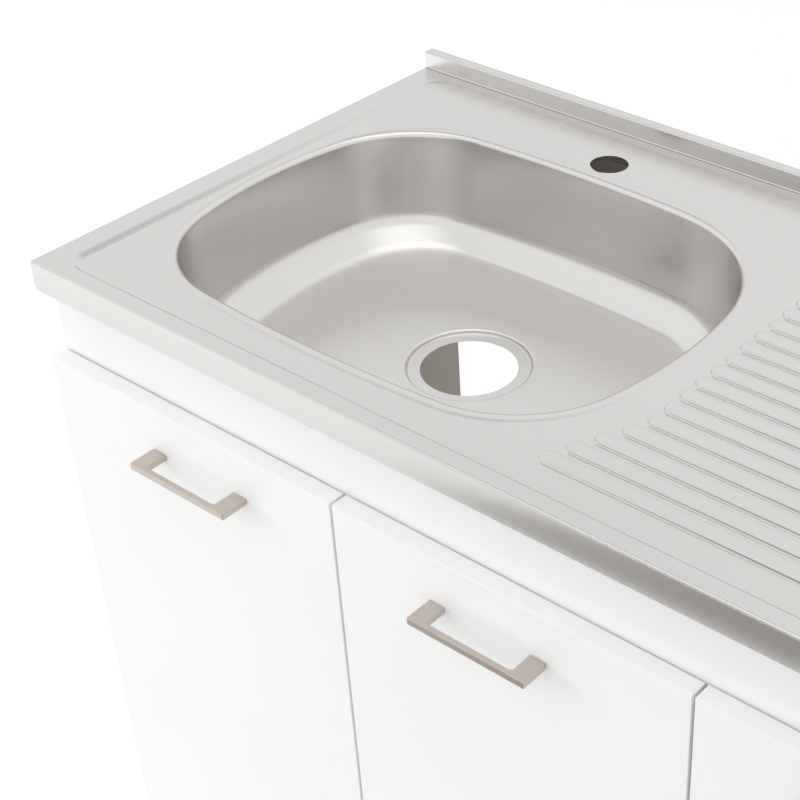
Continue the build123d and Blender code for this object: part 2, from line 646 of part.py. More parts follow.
def partition():
    """Upright board between the compartments, notched at the top for the front rail."""
    left, right = PARTITION_LEFT, PARTITION_RIGHT
    board = block(left, right, CARCASS_FRONT, PARTITION_BACK, FLOOR_PANEL_TOP, CARCASS_TOP)
    board -= block(left, right, CARCASS_FRONT, CARCASS_FRONT + BOARD, RAIL_FOOT, CARCASS_TOP)
    return cut(board, partition_screw_space() + plate_screw_spaces(2) + shelf_pin_holes(-1))


def shelf():
    left = PARTITION_RIGHT + SHELF_CLEARANCE
    right = INNER_RIGHT - SHELF_CLEARANCE
    front = CARCASS_FRONT + SHELF_FRONT_SETBACK
    return block(left, right, front, PARTITION_BACK, SHELF_HEIGHT, SHELF_HEIGHT + BOARD)


def shelf_pins():
    """Steel pins in the panels, just under the shelf."""
    height = SHELF_HEIGHT - SEAT / 2 - SHELF_PIN_DIAMETER / 2
    pins = []
    for x, y, way in shelf_pin_places():
        start = (x + way * SHELF_PIN_LENGTH, y, height)
        pins.append(peg(start, (-way, 0, 0), SHELF_PIN_DIAMETER, 2 * SHELF_PIN_LENGTH))
    return pins


def glides():
    """Discs under the side panels and the plinth board."""
    places = [(0, PLINTH_FRONT + BOARD / 2)]
    for x in (LEFT + BOARD / 2, RIGHT - BOARD / 2):
        places.append((x, CARCASS_FRONT + GLIDE_INSET))
        places.append((x, CARCASS_BACK - GLIDE_INSET))
    return [peg((x, y, 0), (0, 0, 1), GLIDE_DIAMETER, GLIDE_HEIGHT) for x, y in places]


# ================================================================ concealed hinges
# Built in the door's own directions: X from its hinge edge inwards, Y behind its back face, Z from the
# middle of the hinge. Each form is then placed, and mirrored for a door that is hinged on the right.
HINGE_EDGE = {1: LEFT + DOOR_EDGE_GAP, 2: PARTITION_X - DOOR_GAP / 2, 3: RIGHT - DOOR_EDGE_GAP}
PANEL_FACE = {1: BOARD - DOOR_EDGE_GAP, 2: HINGE_EDGE[2] - PARTITION_LEFT, 3: BOARD - DOOR_EDGE_GAP}
PLATE_BACK = DOOR_BACK_GAP + PLATE_SETBACK


def on_hinges(door, form):
    """Copies of a form at both hinges of a door."""
    if door != 1:
        form = mirror(form, about=Plane.YZ)
    return [Pos(HINGE_EDGE[door], DOOR_BACK, height) * form for height in HINGE_HEIGHTS]


def cup_screw_bores(start, diameter, depth):
    """Bars at both cup screws, from a distance behind the door's back face into the door."""
    x = CUP_IN + CUP_SCREW_SETBACK
    half = CUP_SCREW_SPACING / 2
    return [peg((x, start, z), (0, -1, 0), diameter, depth) for z in (-half, half)]


def hinge_cup():
    """Drawn steel cup with its round flange and the wing that holds its two screws."""
    outer = CUP_DIAMETER - 2 * FIT
    depth = CUP_DEPTH - FIT
    cup = peg((CUP_IN, 0, 0), (0, -1, 0), outer, depth)
    cup += peg((CUP_IN, 0, 0), (0, 1, 0), CUP_DIAMETER + 2 * CUP_FLANGE, CUP_FLANGE)
    wing = Plane.XZ * RectangleRounded(CUP_WING_WIDTH, CUP_WING_LENGTH, CUP_WING_ROUND)
    cup += Pos(CUP_IN + CUP_SCREW_SETBACK, 0, 0) * extrude(wing, amount=-CUP_FLANGE)
    cup -= peg((CUP_IN, CUP_FLANGE, 0), (0, -1, 0), outer - 2 * CUP_WALL, CUP_FLANGE + depth - CUP_WALL)
    return cut(cup, cup_screw_bores(CUP_FLANGE, SCREW_DIAMETER + 2 * FIT, CUP_FLANGE))


def cup_screws(door):
    screws = []
    shanks = cup_screw_bores(CUP_FLANGE, SCREW_DIAMETER, SCREW_LENGTH)
    heads = cup_screw_bores(CUP_FLANGE + SCREW_HEAD_HEIGHT, SCREW_HEAD_DIAMETER, SCREW_HEAD_HEIGHT)
    for shank, head in zip(shanks, heads):
        screws += on_hinges(door, shank + head)
    return screws


def strip_outline(path, thickness):
    """Outline of a bent strip that follows a path, with mitred bends."""
    points = [Vector(*point) for point in path]
    runs = [(end - start).normalized() for start, end in zip(points, points[1:])]
    near_side = []
    far_side = []
    for k, point in enumerate(points):
        before = runs[max(k - 1, 0)]
        after = runs[min(k, len(runs) - 1)]
        across = Vector(-before.Y - after.Y, before.X + after.X).normalized()
        reach = thickness / 2 / across.dot(Vector(-before.Y, before.X))
        near_side.append(point + across * reach)
        far_side.insert(0, point - across * reach)
    return make_face(Polyline(*near_side, *far_side, close=True))


def hinge_link():
    """Cranked link: a boss and pin in the cup, a dip round the cup's rim and a straight shank in the arm."""
    path = [
        (LINK_PIN_EDGE, -LINK_PIN_DEPTH),
        (LINK_DIP_IN, -LINK_DIP_DEPTH),
        (LINK_REACH, -LINK_BEND_DEPTH),
        (LINK_REACH, LINK_TAIL),
    ]
    half = LINK_WIDTH / 2
    link = Pos(0, 0, -half) * extrude(strip_outline(path, LINK_THICKNESS), amount=LINK_WIDTH)
    link += peg((LINK_PIN_EDGE, -LINK_PIN_DEPTH, -half), (0, 0, 1), LINK_BOSS_DIAMETER, LINK_WIDTH)
    pin_start = (LINK_PIN_EDGE, -LINK_PIN_DEPTH, -LINK_PIN_LENGTH / 2)
    return link + peg(pin_start, (0, 0, 1), LINK_PIN_DIAMETER, LINK_PIN_LENGTH)


def arm_screw_bore(start, diameter, depth):
    return peg((start, PLATE_BACK + ARM_SCREW_BACK, 0), (-1, 0, 0), diameter, depth)


def hinge_arm():
    """Channel that covers the block and takes the link's shank."""
    back = ARM_FRONT + ARM_LENGTH
    half = ARM_CHANNEL / 2
    arm = block(ARM_TOP - ARM_FLANK, ARM_TOP, ARM_FRONT, back, -half - ARM_WALL, half + ARM_WALL)
    arm = fillet(arm.edges().filter_by(Axis.Y).group_by(Axis.X)[-1], ARM_WALL)
    arm -= block(ARM_TOP - ARM_FLANK, ARM_TOP - ARM_WALL, ARM_FRONT, back, -half, half)
    return arm - arm_screw_bore(ARM_TOP, ARM_SCREW_DIAMETER + 2 * FIT, ARM_WALL)


def plate_screw_bores(door, start, diameter, depth):
    x = PANEL_FACE[door] + start
    half = PLATE_SCREW_SPACING / 2
    return [peg((x, PLATE_BACK, z), (-1, 0, 0), diameter, depth) for z in (-half, half)]


def plate_screw_spaces(door):
    """Holes for the plate screws in the panel that carries a door's hinges."""
    bores = plate_screw_bores(door, 0, SCREW_DIAMETER + 2 * FIT, SCREW_LENGTH - PLATE_THICKNESS + FIT)
    return on_hinges(door, bores[0]) + on_hinges(door, bores[1])


def hinge_plate(door):
    """Mounting plate with the block that carries the arm, on the panel's face."""
    face = PANEL_FACE[door]
    blank = Plane.YZ * RectangleRounded(PLATE_LENGTH, PLATE_WIDTH, PLATE_LENGTH / 4)
    plate = Pos(face, PLATE_BACK, 0) * extrude(blank, amount=PLATE_THICKNESS)
    half_length = BLOCK_LENGTH / 2
    half_width = ARM_CHANNEL / 2 - SEAT
    front, back = PLATE_BACK - half_length, PLATE_BACK + half_length
    plate += block(face, BLOCK_TOP, front, back, -half_width, half_width)
    plate = cut(plate, plate_screw_bores(door, PLATE_THICKNESS, SCREW_DIAMETER + 2 * FIT, PLATE_THICKNESS))
    return plate - arm_screw_bore(BLOCK_TOP, ARM_SCREW_DIAMETER + 2 * FIT, ARM_SCREW_BITE + FIT)


def plate_screws(door):
    """Two wood screws in each plate and the clamping screw of its arm."""
    screws = []
    head_top = PLATE_THICKNESS + SCREW_HEAD_HEIGHT
    shanks = plate_screw_bores(door, PLATE_THICKNESS, SCREW_DIAMETER, SCREW_LENGTH)
    heads = plate_screw_bores(door, head_top, SCREW_HEAD_DIAMETER, SCREW_HEAD_HEIGHT)
    for shank, head in zip(shanks, heads):
        screws += on_hinges(door, shank + head)
    clamp = arm_screw_bore(ARM_TOP, ARM_SCREW_DIAMETER, ARM_TOP - BLOCK_TOP + ARM_SCREW_BITE)
    clamp += arm_screw_bore(ARM_TOP + SCREW_HEAD_HEIGHT, ARM_SCREW_HEAD, SCREW_HEAD_HEIGHT)
    return screws + on_hinges(door, clamp)


# ================================================================ doors
def door_middle(door):
    """Middle of a door across the front."""
    return LEFT + DOOR_EDGE_GAP + DOOR_WIDTH / 2 + (door - 1) * (DOOR_WIDTH + DOOR_GAP)


def free_way(door):
    """Direction from the hinges to the free edge."""
    return 1 if door == 1 else -1


def handle_screw_bores(door, start, diameter, depth):
    middle = door_middle(door) + free_way(door) * HANDLE_OFFSET
    return [
        peg((middle + step, start, HANDLE_HEIGHT), (0, -1, 0), diameter, depth)
        for step in (-HANDLE_CENTRES / 2, HANDLE_CENTRES / 2)
    ]


def door_panel(door):
    """Coated board with bores for the hinge cups, their screws and the handle."""
    middle = door_middle(door)
    half = DOOR_WIDTH / 2
    panel = block(middle - half, middle + half, FRONT, DOOR_BACK, DOOR_FOOT, DOOR_TOP)
    panel = fillet(panel.edges().group_by(Axis.Y)[0], DOOR_EDGE_ROUND)
    spaces = on_hinges(door, peg((CUP_IN, 0, 0), (0, -1, 0), CUP_DIAMETER, CUP_DEPTH))
    for bore in cup_screw_bores(0, SCREW_DIAMETER + 2 * FIT, SCREW_LENGTH - CUP_FLANGE + FIT):
        spaces += on_hinges(door, bore)
    spaces += handle_screw_bores(door, DOOR_BACK, HANDLE_SCREW_DIAMETER + 2 * FIT, DOOR_THICKNESS)
    return cut(panel, spaces)


def handle(door):
    """Flat bar on two legs, bent from one strip."""
    middle = door_middle(door) + free_way(door) * HANDLE_OFFSET
    half = (HANDLE_CENTRES + HANDLE_LEG_WIDTH) / 2
    inner = half - HANDLE_LEG_WIDTH
    low = HANDLE_HEIGHT - HANDLE_BAR_HEIGHT / 2
    high = HANDLE_HEIGHT + HANDLE_BAR_HEIGHT / 2
    face = FRONT - HANDLE_PROJECTION
    bar = block(middle - half, middle + half, face, FRONT, low, high)
    bar = fillet(bar.edges().group_by(Axis.Y)[0], HANDLE_ROUND)
    gap = block(middle - inner, middle + inner, face + HANDLE_BAR_THICKNESS, FRONT, low, high)
    gap = fillet(gap.edges().filter_by(Axis.Z).group_by(Axis.Y)[0], HANDLE_INNER_ROUND)
    bores = handle_screw_bores(door, FRONT, HANDLE_SCREW_DIAMETER + 2 * FIT, HANDLE_SCREW_BITE + FIT)
    return cut(bar - gap, bores)


def handle_screws(door):
    screws = []
    shanks = handle_screw_bores(door, DOOR_BACK, HANDLE_SCREW_DIAMETER, DOOR_THICKNESS + HANDLE_SCREW_BITE)
    heads = handle_screw_bores(door, DOOR_BACK + SCREW_HEAD_HEIGHT, HANDLE_SCREW_HEAD, SCREW_HEAD_HEIGHT)
    for shank, head in zip(shanks, heads):
        screws.append(shank + head)
    return screws


def bumpers(door):
    """Soft discs at the free corners, a seat's clearance short of the carcass."""
    x = door_middle(door) + free_way(door) * (DOOR_WIDTH / 2 - BUMPER_INSET)
    thickness = DOOR_BACK_GAP - BUMPER_SEAT
    return [
        peg((x, DOOR_BACK, z), (0, 1, 0), BUMPER_DIAMETER, thickness)
        for z in (DOOR_FOOT + BUMPER_INSET, DOOR_TOP - BUMPER_INSET)
    ]


# ================================================================ all pieces
def pieces():
    """Name and solid, or list of equal solids, of each piece."""
    parts = {
        "sink_top": sink_top(),
        "sink_bowl": sink_bowl(),
        "sink_clips": sink_clips(),
        "clip_screws": clip_screws(),
        "side_panel_left": side_panel(-1),
        "side_panel_right": side_panel(1),
        "partition": partition(),
        "partition_screws": partition_screws(),
        "bottom_panel": bottom_panel(),
        "front_rail": front_rail(),
        "rear_rail_top": rear_rail("rear_rail_top", CARCASS_TOP - REAR_RAIL_HEIGHT),
        "rear_rail_bottom": rear_rail("rear_rail_bottom", FLOOR_PANEL_TOP),
        "plinth_board": plinth_board(),
        "shelf": shelf(),
        "shelf_pins": shelf_pins(),
        "glides": glides(),
        "cam_locks": cam_locks(),
        "cam_bolts": cam_bolts(),
        "dowels": dowels(),
    }
    for door in (1, 2, 3):
        parts[f"door_panel_{door}"] = door_panel(door)
        parts[f"handle_{door}"] = handle(door)
        parts[f"handle_screws_{door}"] = handle_screws(door)
        parts[f"bumpers_{door}"] = bumpers(door)
        parts[f"hinge_cups_{door}"] = on_hinges(door, hinge_cup())
        parts[f"cup_screws_{door}"] = cup_screws(door)
        parts[f"hinge_links_{door}"] = on_hinges(door, hinge_link())
        parts[f"hinge_arms_{door}"] = on_hinges(door, hinge_arm())
        parts[f"hinge_plates_{door}"] = on_hinges(door, hinge_plate(door))
        parts[f"plate_screws_{door}"] = plate_screws(door)
    return parts


os.makedirs("parts", exist_ok=True)
for name, form in pieces().items():
    if isinstance(form, list):
        form = Compound(children=[solid for item in form for solid in item.solids()])
    export_step(form, f"parts/{name}.step")
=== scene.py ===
import json
import math

import bpy
import bmesh
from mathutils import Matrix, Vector
from mathutils.geometry import delaunay_2d_cdt


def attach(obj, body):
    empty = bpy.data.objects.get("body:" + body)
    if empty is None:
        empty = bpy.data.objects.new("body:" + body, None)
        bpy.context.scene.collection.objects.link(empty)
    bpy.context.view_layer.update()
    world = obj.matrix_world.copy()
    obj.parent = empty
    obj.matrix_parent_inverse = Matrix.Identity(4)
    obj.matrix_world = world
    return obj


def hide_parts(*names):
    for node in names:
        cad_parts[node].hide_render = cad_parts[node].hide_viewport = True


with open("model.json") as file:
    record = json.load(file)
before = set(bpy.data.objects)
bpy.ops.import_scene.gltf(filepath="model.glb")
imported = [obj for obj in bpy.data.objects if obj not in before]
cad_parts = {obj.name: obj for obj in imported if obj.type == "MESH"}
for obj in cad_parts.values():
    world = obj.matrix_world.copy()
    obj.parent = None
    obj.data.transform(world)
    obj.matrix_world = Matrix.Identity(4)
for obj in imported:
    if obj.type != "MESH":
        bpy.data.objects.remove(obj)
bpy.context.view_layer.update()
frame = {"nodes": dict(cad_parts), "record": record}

# ---------------------------------------------------------------- sizes of the steel top, in metres
LEFT, RIGHT = -0.500, 0.500
FRONT, BACK = -0.236, 0.264
DECK = 0.850
SHEET = 0.0008
BEND = 0.0020                                                    # of the deck's outer edge, seen from the side
APRON_FOOT = 0.822
APRON_CORNER = 0.0012                                            # upright corners of the apron
RETURN = 0.015                                                   # flange turned in under the apron
RETURN_CORNER = 0.001
CARCASS_FRONT = -0.2185
CARCASS_BACK = 0.263
EDGE_STRIP = 0.004                                               # from the outer edge to the level border
EDGE_STRIP_CORNER = 0.003
UPSTAND_FRONT = 0.2525
UPSTAND_TOP = 0.8665
UPSTAND_CREST = 0.0018                                           # radius of its two upper edges
UPSTAND_BEND = 0.0012                                            # radius of the bend at its foot
UPSTAND_TOE = 0.0020                                             # reaches this far over the deck
UPSTAND_SPANS = 40

FIELD = 0.8484                                                   # level field, pressed below the deck
BORDER_LEFT = 0.0215
BORDER_RIGHT = 0.030
BORDER_FRONT = 0.015
BORDER_BACK = 0.011
SLOPE = 0.006                                                    # width of the step, at the back and right
SLOPE_LEFT, SLOPE_FRONT = 0.010, 0.003
SLOPE_STEPS = 8
LEVEL_STRIP = 0.001                                              # level strip on each side of the step
FIELD_CORNER = 0.022

RIB_PITCH = 0.02015
RIB_FOOT = 0.0144                                                # width of a rib at its foot
RIB_COUNT = 20
RIB_FIRST = -0.1846
RIB_START = 0.033
RIB_END = 0.438
RIB_STRAIGHT = 0.114                                             # rib ends stand in line this far from the middle
RIB_SLANT = 0.46
RIB_END_STEPS = 12
RIB_PROFILE = (                                                  # outward from the foot and up
    (0.0010, 0.0), (0.0003, 0.0), (0.0000, 0.00012), (-0.0003, 0.0006), (-0.0007, 0.0018),
    (-0.0010, 0.00224), (-0.0015, 0.0024), (-0.0022, 0.0024))

BOWL_X, BOWL_Y = -0.2290, -0.00875
BOWL_HALF_LENGTH = 0.2355
BOWL_HALF_WIDTH = 0.17875
LONG_RADIUS = 1.500                                              # of the gently curved front and back
SHORT_RADIUS = 0.380                                             # and of the left and right end
CORNERS = {"back_right": 0.134, "back_left": 0.117, "front_left": 0.114, "front_right": 0.112}
SHORT_STEPS, CORNER_STEPS, LONG_STEPS = 15, 26, 20
RIM = 0.0055                                                     # radius of the rolled rim
RIM_FALL = 0.007                                                 # height of the rim above the wall's lean
BEAD_WIDTH, BEAD_LEFT = 0.0085, 0.0012                           # soft bead round the rim; it narrows on the left
BEAD_HEIGHT = 0.00025
BEAD_START = 1.1                                                 # level margin, in widths of the bead
BEAD_STEPS = 8
WALL_FOOT = 0.7710
WALL_DRAFT = 0.008
WALL_STEPS = 6
FLOOR_EDGE = 0.7410
FILLET_ENDS = 0.0490
FILLET_SIDES = 0.0400
FILLET_BENDS = ((20.0, 83, 45, 9), (0, 45, 45, 3), (18.0, 45, 12, 9), (70.0, 12, 3, 5))   # radius, tilts, steps
FILLET_SLOPE = 13.0                                              # straight part between the bends, same unit
FLOOR_BEND = ((0.012, 0.00022), (0.026, 0.00038), (0.045, 0.00052))    # share of the way to the drain, fall
FLOOR_STEPS = 14
FLOOR_SAG = 0.25

DRAIN_X, DRAIN_Y = -0.2275, -0.00445
DRAIN_RIM = 0.7370
DRAIN_SEAT = 0.7330
DRAIN_RADIUS = 0.0430
DRAIN_SPREAD = 1.25                                              # evens out the ring's points round the drain
RECESS_LIP = 0.0573                                              # radius where the floor turns into the recess
LIP_ROLL = 0.0026
RECESS_WALL = 0.0029                                             # the wall's distance from the lip
SEAT_BEND = 0.0012
SEAT_START = 0.0052                                              # the level seat's distance from the lip
TAP_X, TAP_Y, TAP_RADIUS = -0.2275, 0.197, 0.0175
TAP_STEPS = 72
HOLE_MARGIN = 0.0002                                             # broken edge of a punched hole
LEVEL = 0.99999                                                  # normals this upright belong to level faces
MERGE = 1e-7

# ---------------------------------------------------------------- sizes of the handles
HANDLE_CENTRES = 0.096
HANDLE_WIDTH = 0.015
HANDLE_HIGH = 0.0065
HANDLE_BAR = 0.005
HANDLE_REACH = 0.026
HANDLE_INNER = 0.003
HANDLE_EDGE = 0.0009
HANDLE_Z = 0.7112

# ---------------------------------------------------------------- colours, camera and room
WHITE = (0.945, 0.945, 0.942)
# painted shade: dark olive-grey standing in for the shadow inside the cabinet
INSIDE_SHADE = (0.40, 0.385, 0.325)
STEEL = (0.72, 0.705, 0.69)
FLOOR_WHITE = (0.93, 0.93, 0.93)
MAT_GREY = (0.30, 0.29, 0.285)

CAMERA_PLACE = (0.59349, -0.91464, 1.55283)
CAMERA_TURN = (54.365, 0.0547, 37.7844)                          # degrees
CAMERA_SENSOR = 36.0
CAMERA_LENS = 76.0
CAMERA_SHIFT = (-0.2164, 0.0252)
CAMERA_RANGE = 50

# the room's light by the height of the direction, toward its front left and toward its back right
FRONT_LIGHT = ((0.00, 0.85), (0.20, 0.98), (0.34, 1.08), (0.70, 1.06), (0.84, 0.95), (0.94, 1.5))
BACK_LIGHT = ((0.00, 0.60), (0.15, 0.65), (0.33, 0.90), (0.42, 1.00), (0.86, 1.00), (0.94, 1.5))
ROOM_FRONT = (-0.55, -0.83, 0)
ROOM_TURN = (0.0, 0.5)
DOORWAY_WAY = (-0.25, -0.97, 0)                                  # a dark doorway in front
DOORWAY_SIDES = (0.955, 0.985)
DOORWAY_TOP = (0.34, 0.46)
DOORWAY_LIGHT = 0.30
FITTING_WAY = (-0.45, 0.33, 0.83)                                # a dark ceiling fitting, high at the back left
FITTING_EDGE = (0.945, 0.975)
FITTING_LIGHT = 0.60
LAMP_PLACE, LAMP_TARGET = (-3.6, -2.6, 1.6), (0, 0, 0.6)
LAMP_SIZE = 2.2
LAMP_WATTS = 40

FLOOR_REACH = 7.0
MAT_X, MAT_Y = 0.35, -1.35                                       # middle of the dark mat in front of the unit
MAT_HALF_LENGTH, MAT_HALF_WIDTH = 1.05, 0.60
MAT_EDGE = (0.49, 0.51)


# ---------------------------------------------------------------- mesh helpers
class Sheet:
    """Collects points, faces and grain directions of one sheet-metal surface."""

    def __init__(self):
        self.points = []
        self.faces = []
        self.grain = []                                          # one UV pair per face corner
        self.loops = []                                          # inner outlines of the level field

    def ring(self, points):
        start = len(self.points)
        self.points += [tuple(p) for p in points]
        return list(range(start, start + len(points)))

    def face(self, ids, grain=None):
        """Grain runs along U. Without one of its own, a face takes its place on the sheet."""
        if grain is None:
            corners = [Vector(self.points[i]) for i in ids]
            across = (corners[1] - corners[0]).cross(corners[2] - corners[0])
            if abs(across.z) * 2 > across.length:
                grain = [(c.x, c.y) for c in corners]
            elif abs(across.y) > abs(across.x):
                grain = [(c.x, c.z) for c in corners]
            else:
                grain = [(c.y, c.z) for c in corners]
        self.faces.append(tuple(ids))
        self.grain.append(grain)

    def skin(self, rings, around=False):
        """Quads from ring to ring, returned as rings of ids. Around: the grain runs along the rings."""
        rings = [self.ring(points) for points in rings]
        depth = 0.0
        for a, b in zip(rings, rings[1:]):
            n = len(a)
            step = (Vector(self.points[a[0]]) - Vector(self.points[b[0]])).length
            for k in range(n):
                ids = (a[k], a[(k + 1) % n], b[(k + 1) % n], b[k])
                u0, u1 = k / n, (k + 1) / n
                grain = [(u0, depth), (u1, depth), (u1, depth + step), (u0, depth + step)]
                self.face(ids, grain if around else None)
            depth += step
        return rings


def arc(low, high, steps):
    """Angles in radians, from degrees."""
    return [math.radians(low + (high - low) * k / steps) for k in range(steps + 1)]


def rounded_ring(x0, x1, y0, y1, radius, z, steps=8, spans=24):
    """Points round a rectangle with round corners, counter-clockwise from the front-right corner."""
    corners = (
        (x1 - radius, y0 + radius, -90), (x1 - radius, y1 - radius, 0),
        (x0 + radius, y1 - radius, 90), (x0 + radius, y0 + radius, 180))
    arcs = [[(cx + radius * math.cos(a), cy + radius * math.sin(a), z) for a in arc(turn, turn + 90, steps)]
            for cx, cy, turn in corners]
    ring = []
    for index, points in enumerate(arcs):
        ring += points
        here = Vector(points[-1])
        there = Vector(arcs[(index + 1) % 4][0])
        ring += [tuple(here.lerp(there, k / spans)) for k in range(1, spans)]
    return ring


def inset_ring(inset, radius, z):
    """A ring round the whole top, set in from its outer edges."""
    return rounded_ring(LEFT + inset, RIGHT - inset, FRONT + inset, BACK - inset, radius, z)


def circle_ring(x, y, radius, z, count):
    turns = [2 * math.pi * k / count for k in range(count)]
    return [(x + radius * math.cos(a), y + radius * math.sin(a), z) for a in turns]


def in_loop(point, loop):
    """Whether the point lies inside the closed outline."""
    hit = False
    for a, b in zip(loop, loop[-1:] + loop[:-1]):
        if (a.y > point.y) != (b.y > point.y):
            if point.x < (b.x - a.x) * (point.y - a.y) / (b.y - a.y) + a.x:
                hit = not hit
    return hit


def mesh_object(name, points, faces, grain=None):
    mesh = bpy.data.meshes.new(name)
    mesh.from_pydata(points, [], faces)
    if grain:
        layer = mesh.uv_layers.new(name="grain")
        for polygon, pairs in zip(mesh.polygons, grain):
            for loop, pair in zip(polygon.loop_indices, pairs):
                layer.data[loop].uv = pair
    bm = bmesh.new()
    bm.from_mesh(mesh)
    bmesh.ops.remove_doubles(bm, verts=bm.verts, dist=MERGE)
    bmesh.ops.recalc_face_normals(bm, faces=bm.faces)
    bm.to_mesh(mesh)
    bm.free()
    obj = bpy.data.objects.new(name, mesh)
    bpy.context.scene.collection.objects.link(obj)
    for polygon in mesh.polygons:
        polygon.use_smooth = True
    return obj


def apply_modifiers(obj):
    graph = bpy.context.evaluated_depsgraph_get()
    mesh = bpy.data.meshes.new_from_object(obj.evaluated_get(graph))
    obj.modifiers.clear()
    obj.data = mesh


def node_span(name):
    """Left and right end of a CAD node."""
    node = frame["nodes"][name]
    xs = [(node.matrix_world @ Vector(corner)).x for corner in node.bound_box]
    return min(xs), max(xs)


# ---------------------------------------------------------------- outline of the bowl
def corner_points(radius):
    """Centre of a corner arc tangent to the long side's arc and the short side's arc."""
    long_centre = Vector((0, BOWL_HALF_WIDTH - LONG_RADIUS))
    short_centre = Vector((BOWL_HALF_LENGTH - SHORT_RADIUS, 0))
    from_long = LONG_RADIUS - radius
    from_short = SHORT_RADIUS - radius
    line = short_centre - long_centre
    span = line.length
    along = (from_long ** 2 - from_short ** 2 + span ** 2) / (2 * span)
    aside = math.sqrt(from_long ** 2 - along ** 2)
    unit = line / span
    return long_centre + unit * along + Vector((unit.y, -unit.x)) * aside, long_centre, short_centre


def bowl_outline():
    """Points and outward normals round the bowl, counter-clockwise."""
    points = []
    quarters = (("front_right", 1, -1), ("back_right", 1, 1), ("back_left", -1, 1), ("front_left", -1, -1))
    for name, sx, sy in quarters:
        radius = CORNERS[name]
        centre, long_centre, short_centre = corner_points(radius)
        on_short = (centre - short_centre).normalized()
        on_long = (centre - long_centre).normalized()
        a0 = math.atan2(on_short.y, on_short.x)
        a1 = math.atan2(on_long.y, on_long.x)
        turns = [(short_centre, SHORT_RADIUS, a0 * k / SHORT_STEPS) for k in range(SHORT_STEPS)]
        turns += [(centre, radius, a0 + (a1 - a0) * k / CORNER_STEPS) for k in range(CORNER_STEPS)]
        turns += [(long_centre, LONG_RADIUS, a1 + (math.pi / 2 - a1) * k / LONG_STEPS)
                  for k in range(LONG_STEPS + 1)]
        if sx * sy < 0:
            turns.reverse()
        for middle, reach, a in turns:
            p = middle + Vector((math.cos(a), math.sin(a))) * reach
            p = Vector((p.x * sx, p.y * sy))
            if not points or (p - points[-1][0]).length > 1e-6:
                points.append((p, Vector((math.cos(a) * sx, math.sin(a) * sy))))
    if (points[0][0] - points[-1][0]).length < 1e-6:
        points.pop()
    return points


OUTLINE = bowl_outline()


def bowl_ring(inset, z, fillet=0.0):
    """A ring inside the outline. fillet adds that share of the floor fillet's reach."""
    ring = []
    for p, n in OUTLINE:
        reach = math.hypot(FILLET_ENDS * n.x, FILLET_SIDES * n.y)
        q = p - n * (inset + reach * fillet)
        ring.append((BOWL_X + q.x, BOWL_Y + q.y, z))
    return ring


def bead_ring(share, z):
    """A ring outside the outline, at that share of the bead's width."""
    ring = []
    for p, n in OUTLINE:
        width = BEAD_WIDTH - (BEAD_WIDTH - BEAD_LEFT) * max(0.0, -n.x) ** 2
        q = p + n * width * share
        ring.append((BOWL_X + q.x, BOWL_Y + q.y, z))
    return ring


def fillet_profile():
    """The floor fillet in shares of its reach and height: a bend, a slope, a tighter bend, a gentle end."""
    places = [(0.0, 0.0)]
    for radius, high, low, steps in FILLET_BENDS:
        for k in range(steps):
            a = math.radians(high + (low - high) * (k + 0.5) / steps)
            length = FILLET_SLOPE / steps if high == low else radius * math.radians(high - low) / steps
            x, z = places[-1]
            places.append((x + length * math.cos(a), z + length * math.sin(a)))
    reach, height = places[-1]
    return [(x / reach, z / height) for x, z in places]


# ---------------------------------------------------------------- steel top and bowl, one pressed sheet
def press_border(s):
    """Return flange, apron, bend, border and step. Gives the outline of the level field."""
    rings = [rounded_ring(LEFT + RETURN, RIGHT - RETURN, CARCASS_FRONT + RETURN, CARCASS_BACK - RETURN,
                          RETURN_CORNER, APRON_FOOT)]
    rings.append(inset_ring(BEND, APRON_CORNER, APRON_FOOT))
    for a in arc(0, 90, 4):
        z = APRON_FOOT + BEND * 0.5 * (1 - math.cos(a))
        rings.append(inset_ring(BEND * 0.5 * (1 - math.sin(a)), APRON_CORNER, z))
    rings.append(inset_ring(0, APRON_CORNER, DECK - BEND))
    for a in arc(0, 90, 6)[1:]:
        inset = BEND * (1 - math.cos(a))
        rings.append(inset_ring(inset, APRON_CORNER + inset * 0.2, DECK - BEND * (1 - math.sin(a))))
    rings.append(inset_ring(EDGE_STRIP, EDGE_STRIP_CORNER, DECK))

    x0, x1 = LEFT + BORDER_LEFT, RIGHT - BORDER_RIGHT
    y0, y1 = FRONT + BORDER_FRONT, UPSTAND_FRONT - BORDER_BACK
    rings.append(rounded_ring(x0 - LEVEL_STRIP, x1 + LEVEL_STRIP, y0 - LEVEL_STRIP, y1 + LEVEL_STRIP,
                              FIELD_CORNER + LEVEL_STRIP, DECK))
    for k in range(SLOPE_STEPS + 1):
        t = k / SLOPE_STEPS
        inset = SLOPE * t
        z = DECK - (DECK - FIELD) * (t * t * (3 - 2 * t))
        rings.append(rounded_ring(x0 + SLOPE_LEFT * t, x1 - inset, y0 + SLOPE_FRONT * t, y1 - inset,
                                  FIELD_CORNER - inset, z))
    inset = SLOPE + LEVEL_STRIP
    rings.append(rounded_ring(x0 + SLOPE_LEFT + LEVEL_STRIP, x1 - inset, y0 + SLOPE_FRONT + LEVEL_STRIP,
                              y1 - inset, FIELD_CORNER - inset, FIELD))
    return s.skin(rings)[-1]


def slot_ring(start, end, y, half, z):
    """Points round a rib at height z, counter-clockwise."""
    ring = []
    for middle, first in ((end - half, -90), (start + half, 90)):
        for a in arc(first, first + 180, RIB_END_STEPS):
            ring.append((middle + half * math.cos(a), y + half * math.sin(a), z))
    return ring


